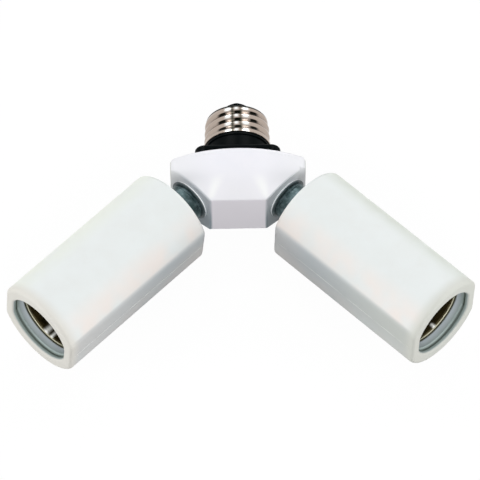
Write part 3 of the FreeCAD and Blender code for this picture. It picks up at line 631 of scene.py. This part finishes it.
def roll_thread(form, start, end):
    """Push a turned wall in and out into a rolled thread that runs out at both ends."""
    for vert in form.verts:
        height = vert.co.z
        if not start < height < end:
            continue
        fade = min(1.0, 2 * (height - start) / PITCH, 2 * (end - height) / PITCH)
        angle = math.atan2(vert.co.y, vert.co.x)
        wave = math.cos(angle - 2 * math.pi * (height - start) / PITCH)
        radius = math.hypot(vert.co.x, vert.co.y)
        scale = 1 + THREAD_DEPTH / 2 * fade * wave / radius
        vert.co.x *= scale
        vert.co.y *= scale


def flatted_ring(form, radius, flat, height):
    """Points of a circle at a height, with two flats square to X at a distance from the axis."""
    verts = bmesh.ops.create_circle(form, segments=240, radius=radius)["verts"]
    for vert in verts:
        vert.co.z = height
        beyond = abs(vert.co.x) - (flat - SOFT_CORNER)
        if flat < radius and beyond > 0:
            soft = flat - SOFT_CORNER * math.exp(-beyond / SOFT_CORNER)
            vert.co.x = math.copysign(soft, vert.co.x)
    return verts


def skin(rings):
    """Closed wall through rings of (radius, flat, height), the last joined to the first."""
    form = bmesh.new()
    loops = [flatted_ring(form, *ring) for ring in rings]
    for first, second in zip(loops, loops[1:] + loops[:1]):
        for i in range(len(first)):
            form.faces.new((first[i - 1], first[i], second[i], second[i - 1]))
    return form


def rounding(edge):
    """Steps round a quarter circle from (edge, 0) to (0, edge), as two insets from its corner."""
    angles = [math.pi / 2 * step / 6 for step in range(7)]
    return [(edge * (1 - math.sin(angle)), edge * (1 - math.cos(angle))) for angle in angles]


def bar(form, size, centre, edge):
    """Bar with rounded edges, added to a form."""
    made = bmesh.ops.create_cube(form, size=1)["verts"]
    bmesh.ops.scale(form, vec=size, verts=made)
    bmesh.ops.translate(form, vec=centre, verts=made)
    edges = list({line for vert in made for line in vert.link_edges})
    bmesh.ops.bevel(form, geom=edges, offset=edge, offset_type="OFFSET", segments=2, profile=0.5,
                    affect="EDGES", material=-1)


# Finishes in use

HUB_WHITE = hub_white()
SOCKET_WHITE = {side: socket_white(side) for side in SIDES}
BLACK = black_plastic("collar_plastic", 0.03)
TIP_BLACK = black_plastic("tip_plastic", 0.0)
NICKEL = base_plate()
LAMP_SHELL = {side: lamp_sheet(side) for side in SIDES}
ZINC = {side: turned_zinc(side) for side in SIDES}
STEEL = plain_metal("screw_steel", "steel", paint(196, 198, 198), paint(160, 163, 164), 0.28)
BRASS = plain_metal("contact_brass", "brass", paint(214, 178, 98), paint(168, 132, 66), 0.22)
SOLDER = contact_solder()
BLOCK = plain_insulation("block_moulding", "block", paint(226, 222, 210), paint(206, 200, 186),
                         0.6, 0.03)
NYLON = {side: washer_nylon(side) for side in SIDES}
BLACK_WIRE = plain_insulation("black_insulation", "black_wire", paint(22, 22, 24),
                              paint(38, 38, 40), 0.42)
WHITE_WIRE = plain_insulation("white_insulation", "white_wire", paint(232, 232, 228),
                              paint(214, 214, 208), 0.42)


# The hub, the collar and the screw base

def moulded_copy(name, mesh, finish, replaced):
    """Piece of the hub in the CAD's own shape, with its curves shaded as one surface."""
    even_shading(dress(name, mesh, "hub", finish, replaced, MOULDED_EDGE))


def base_shell():
    """Rolled nickel-plated shell: skirt at the neck, tapering thread, nose over the insulator."""
    start, end, nose = THREAD_FOOT_Y - SHELL_FOOT_Y, 12.3, 14.2
    foot, top = 12.78, 12.33
    outer = [(13.35, 0), (13.45, 0.1), (13.45, 0.9), (13.38, 1.1), (13.0, 1.4)]
    outer += fine_run((foot, start), (top, end), 0.16)
    outer += [(top, end), (12.2, 12.75), (11.8, 13.25), (11.0, 13.75), (10.2, 14.05), (9.6, nose)]
    inner = [(radius - SHEET_WALL, height - (SHEET_WALL if radius < 12.3 else 0))
             for radius, height in reversed(outer)]
    form = turned(outer + inner, 128)
    roll_thread(form, start, end)
    piece("base_shell_rolled", form, base_place(SHELL_FOOT_Y), "hub", NICKEL,
          ["base_screw_shell"])


def base_tip():
    """Moulded insulator with a rounded shoulder, and the soldered button on it."""
    insulator = [(1.7, 0), (7.0, 0), (7.0, 4.0), (9.5, 4.0), (9.6, 4.45), (8.9, 5.2), (7.7, 6.0),
                 (6.2, 7.4), (5.0, 8.6), (4.6, 8.95), (4.2, 9.0), (1.7, 9.0)]
    piece("insulator_moulded", turned(insulator), base_place(INSULATOR_FOOT_Y), "hub", TIP_BLACK,
          ["tip_insulator"])
    button = [(0, 0), (3.2, 0), (3.2, 0.8), (1.7, 0.8), (1.7, 9.8), (3.25, 9.8), (3.35, 10.1),
              (3.3, 10.5), (3.0, 11.0), (2.5, 11.4), (1.9, 11.65), (1.2, 11.78), (0, 11.8)]
    piece("contact_button", turned(button, 48), base_place(CONTACT_FOOT_Y), "hub", SOLDER,
          ["base_contact"])


moulded_copy("hub_moulded", one_skin("hub_housing", "hub_cover"), HUB_WHITE,
             ["hub_housing", "hub_cover"])
moulded_copy("collar_moulded", merged_mesh("base_collar"), BLACK, ["base_collar"])
base_shell()
base_tip()


# The arms

def arm_piece(side, name, form, foot, finish, node):
    """Piece on a socket's body, with its foot at a distance along the arm."""
    return piece(f"{side}_{name}", form, arm_place(side, foot), side + "_socket", finish[side],
                 [f"{side}_{node}"])


def stem(side):
    """Turned barrel between hub and socket, with a fine groove near each end."""
    profile = [(3.2, 0), (4.8, 0), (5.0, 0.2), (5.0, 1.2), (4.4, 1.2), (4.4, 2.2), (5.0, 2.2),
               (5.0, 6.8), (7.4, 6.8), (7.85, 7.0), (8.0, 7.4), (8.0, 8.3), (7.8, 8.5), (8.0, 8.7),
               (8.0, 14.4), (7.8, 14.6), (8.0, 14.8), (8.0, 15.8), (7.7, 16.1), (6.0, 16.1),
               (6.0, 25.6), (3.2, 25.6)]
    arm_piece(side, "stem_turned", turned(profile), STEM_FOOT_AT, ZINC, "swivel_stem")


def lamp_shell(side):
    """Rolled shell behind the mouth: turned-out lip, thread, plain foot and floor."""
    start, end, length = 10.6, 24.9, 28.1
    inside, outside = 12.78, 13.08
    inner = [(13.25, length), (13.1, length - 0.35), (12.85, length - 0.8), (inside, length - 1.1)]
    inner += fine_run((inside, end), (inside, start), 0.18)
    inner += [(inside, start), (inside, 0.9), (12.55, 0.45), (12.1, SHEET_WALL),
              (7.5, SHEET_WALL), (7.5, 0)]
    outer = [(12.4, 0), (12.95, 0.3), (outside, 0.9)]
    outer += fine_run((outside, start), (outside, end), 0.18)
    outer += [(outside, end), (outside, length - 1.1), (13.35, length - 0.5), (13.5, length)]
    form = turned(inner + outer, 128)
    roll_thread(form, start, end)
    arm_piece(side, "shell_rolled", form, BLOCK_FRONT_AT, LAMP_SHELL, "screw_shell")


def socket_body(side):
    """Moulded socket: rounded ends, stepped mouth with a fine groove behind the rim, and bores."""
    hole, chamber, shell_room, entry = 6.0, 12.0, 13.6, 13.8
    floor_top, block_seat, entry_foot, ledge = 4.0, 33.7, 67.8, 71.0
    rings = [(hole, hole, INNER_END)]
    rings += [(SOCKET_RADIUS - inset, SOCKET_FLAT - inset, rise + INNER_END)
              for inset, rise in rounding(1.8)]
    rings += [(SOCKET_RADIUS - inset, SOCKET_FLAT - inset, SOCKET_LENGTH - drop)
              for drop, inset in rounding(1.5)]
    rings += [(MOUTH_RADIUS + inset, MOUTH_FLAT + inset, SOCKET_LENGTH - drop)
              for inset, drop in rounding(1.0)]
    rings += [(MOUTH_RADIUS + groove, MOUTH_FLAT + groove, height)
              for groove, height in ((0, 72.3), (0.25, 72.2), (0.25, 71.8), (0, 71.7))]
    rings += [(radius, radius, height) for radius, height in (
        (entry, ledge), (entry, entry_foot), (shell_room, entry_foot), (shell_room, block_seat),
        (chamber, block_seat), (chamber, floor_top), (hole, floor_top))]
    form = skin(rings)
    for sign in (-1, 1):
        bar(form, (0.2, 0.4, 69.5), (sign * SOCKET_FLAT, 0, 37.0), 0.05)
        bar(form, (5.0, 5.4, 29.8), (sign * 9.9, 0, 18.8), 0.2)
    even_shading(arm_piece(side, "socket_moulded", form, SOCKET_AT, SOCKET_WHITE, "socket_body"))


for side in SIDES:
    stem(side)
    lamp_shell(side)
    socket_body(side)


# Finishes of the pieces that keep their own shape

KEPT = {
    "collar_screws": STEEL, "disc_spring": STEEL, "retaining_ring": STEEL, "stem_nut": STEEL,
    "shell_screws": STEEL, "contact_leaf": BRASS, "contact_rivet": BRASS, "neutral_tag": BRASS,
    "contact_block": BLOCK, "black_lead": BLACK_WIRE, "white_lead": WHITE_WIRE,
}
for name, node in frame["nodes"].items():
    side, _, word = name.partition("_")
    finish = NYLON[side] if word == "thrust_washer" else KEPT.get(word if side in SIDES else name)
    if finish:
        node.data.materials.clear()
        node.data.materials.append(finish.material)


# Studio

def showing(tree):
    """1 where the camera, a gloss or a clear thing looks at the surface, and 0 for its light."""
    seen = tree.node("ShaderNodeLightPath", output="Is Camera Ray")
    for ray in ("Is Glossy Ray", "Is Transmission Ray"):
        seen = seen.maths("MAXIMUM", tree.node("ShaderNodeLightPath", output=ray))
    return seen


def floor():
    """Pale ground under the part: white to the camera, with a soft trace of the shadow."""
    form = bmesh.new()
    bmesh.ops.create_grid(form, x_segments=1, y_segments=1, size=4)
    form.transform(Matrix.Translation((0, 0, GROUND_Z * MM)))
    ground = added("ground", written(form, bpy.data.meshes.new("ground")))
    material = bpy.data.materials.new("ground_white")
    tree = Tree(material)
    matt = tree.node("ShaderNodeBsdfDiffuse", {}, {"Color": (0.4, 0.4, 0.4, 1)})
    glow = tree.node("ShaderNodeEmission", {}, {"Strength": 1.07})
    shown = tree.node("ShaderNodeMixShader", {}, {0: showing(tree) * 0.9, 1: matt, 2: glow})
    tree.node("ShaderNodeOutputMaterial", {}, {0: shown})
    ground.data.materials.append(material)


def world(ambient):
    """White to the camera, to gloss and through clear things; a plain soft level for the light."""
    studio = bpy.data.worlds.new("studio")
    bpy.context.scene.world = studio
    tree = Tree(studio)
    soft = {"Color": (0.96, 0.98, 1, 1), "Strength": ambient}
    light = tree.node("ShaderNodeBackground", {}, soft)
    white = tree.node("ShaderNodeBackground", {}, {"Color": (1, 1, 1, 1)})
    mixed = tree.node("ShaderNodeMixShader", {}, {0: showing(tree), 1: light, 2: white})
    tree.node("ShaderNodeOutputWorld", {}, {0: mixed})


def lamp(name, place, size, power, aim=(0, -0.03, 0), glint=False):
    """Square soft light in metres and watts, aimed at a point; with glint, gloss shows it."""
    light = bpy.data.lights.new(name, "AREA")
    light.size = size
    light.energy = power
    holder = added(name, light)
    holder.visible_glossy = glint
    holder.location = place
    way = Vector(aim) - Vector(place)
    holder.rotation_euler = way.to_track_quat("-Z", "Y").to_euler()


def camera():
    """The photograph's view: a long lens from above and in front."""
    elevation, yaw, roll = (math.radians(degrees) for degrees in (57.22, 0.73, 0.35))
    distance, target = 1.413, Vector((0.28, -34.77, 0)) * MM
    ahead = Vector((math.sin(yaw) * math.cos(elevation), math.cos(yaw) * math.cos(elevation),
                    -math.sin(elevation)))
    right = Vector((math.cos(yaw), -math.sin(yaw), 0))
    up = right.cross(ahead)
    across = right * math.cos(roll) - up * math.sin(roll)
    upward = right * math.sin(roll) + up * math.cos(roll)
    lens = bpy.data.cameras.new("view")
    lens.lens = 270
    lens.sensor_width = 36
    lens.clip_start = 0.05
    lens.clip_end = 20
    holder = added("view", lens)
    turn = Matrix((across, upward, -ahead)).transposed().to_4x4()
    holder.matrix_world = Matrix.Translation(target - ahead * distance) @ turn
    bpy.context.scene.camera = holder


floor()
world(0.285)
lamp("left_window", (-0.3, 0.5, 0.68), 0.36, 1.86, glint=True)
lamp("right_window", (0.36, 0.5, 0.66), 0.36, 1.86, glint=True)
lamp("back_light", (0.05, 1.1, 0.3), 0.5, 3.2)
lamp("left_light", (-0.95, -0.2, 0.14), 0.25, 4.2)
lamp("right_light", (0.95, -0.2, 0.14), 0.25, 3.7)
lamp("front_fill", (0.05, -0.85, 0.64), 0.4, 5.35, aim=(0, -0.05, 0))
camera()
bpy.context.scene.view_settings.view_transform = "Standard"
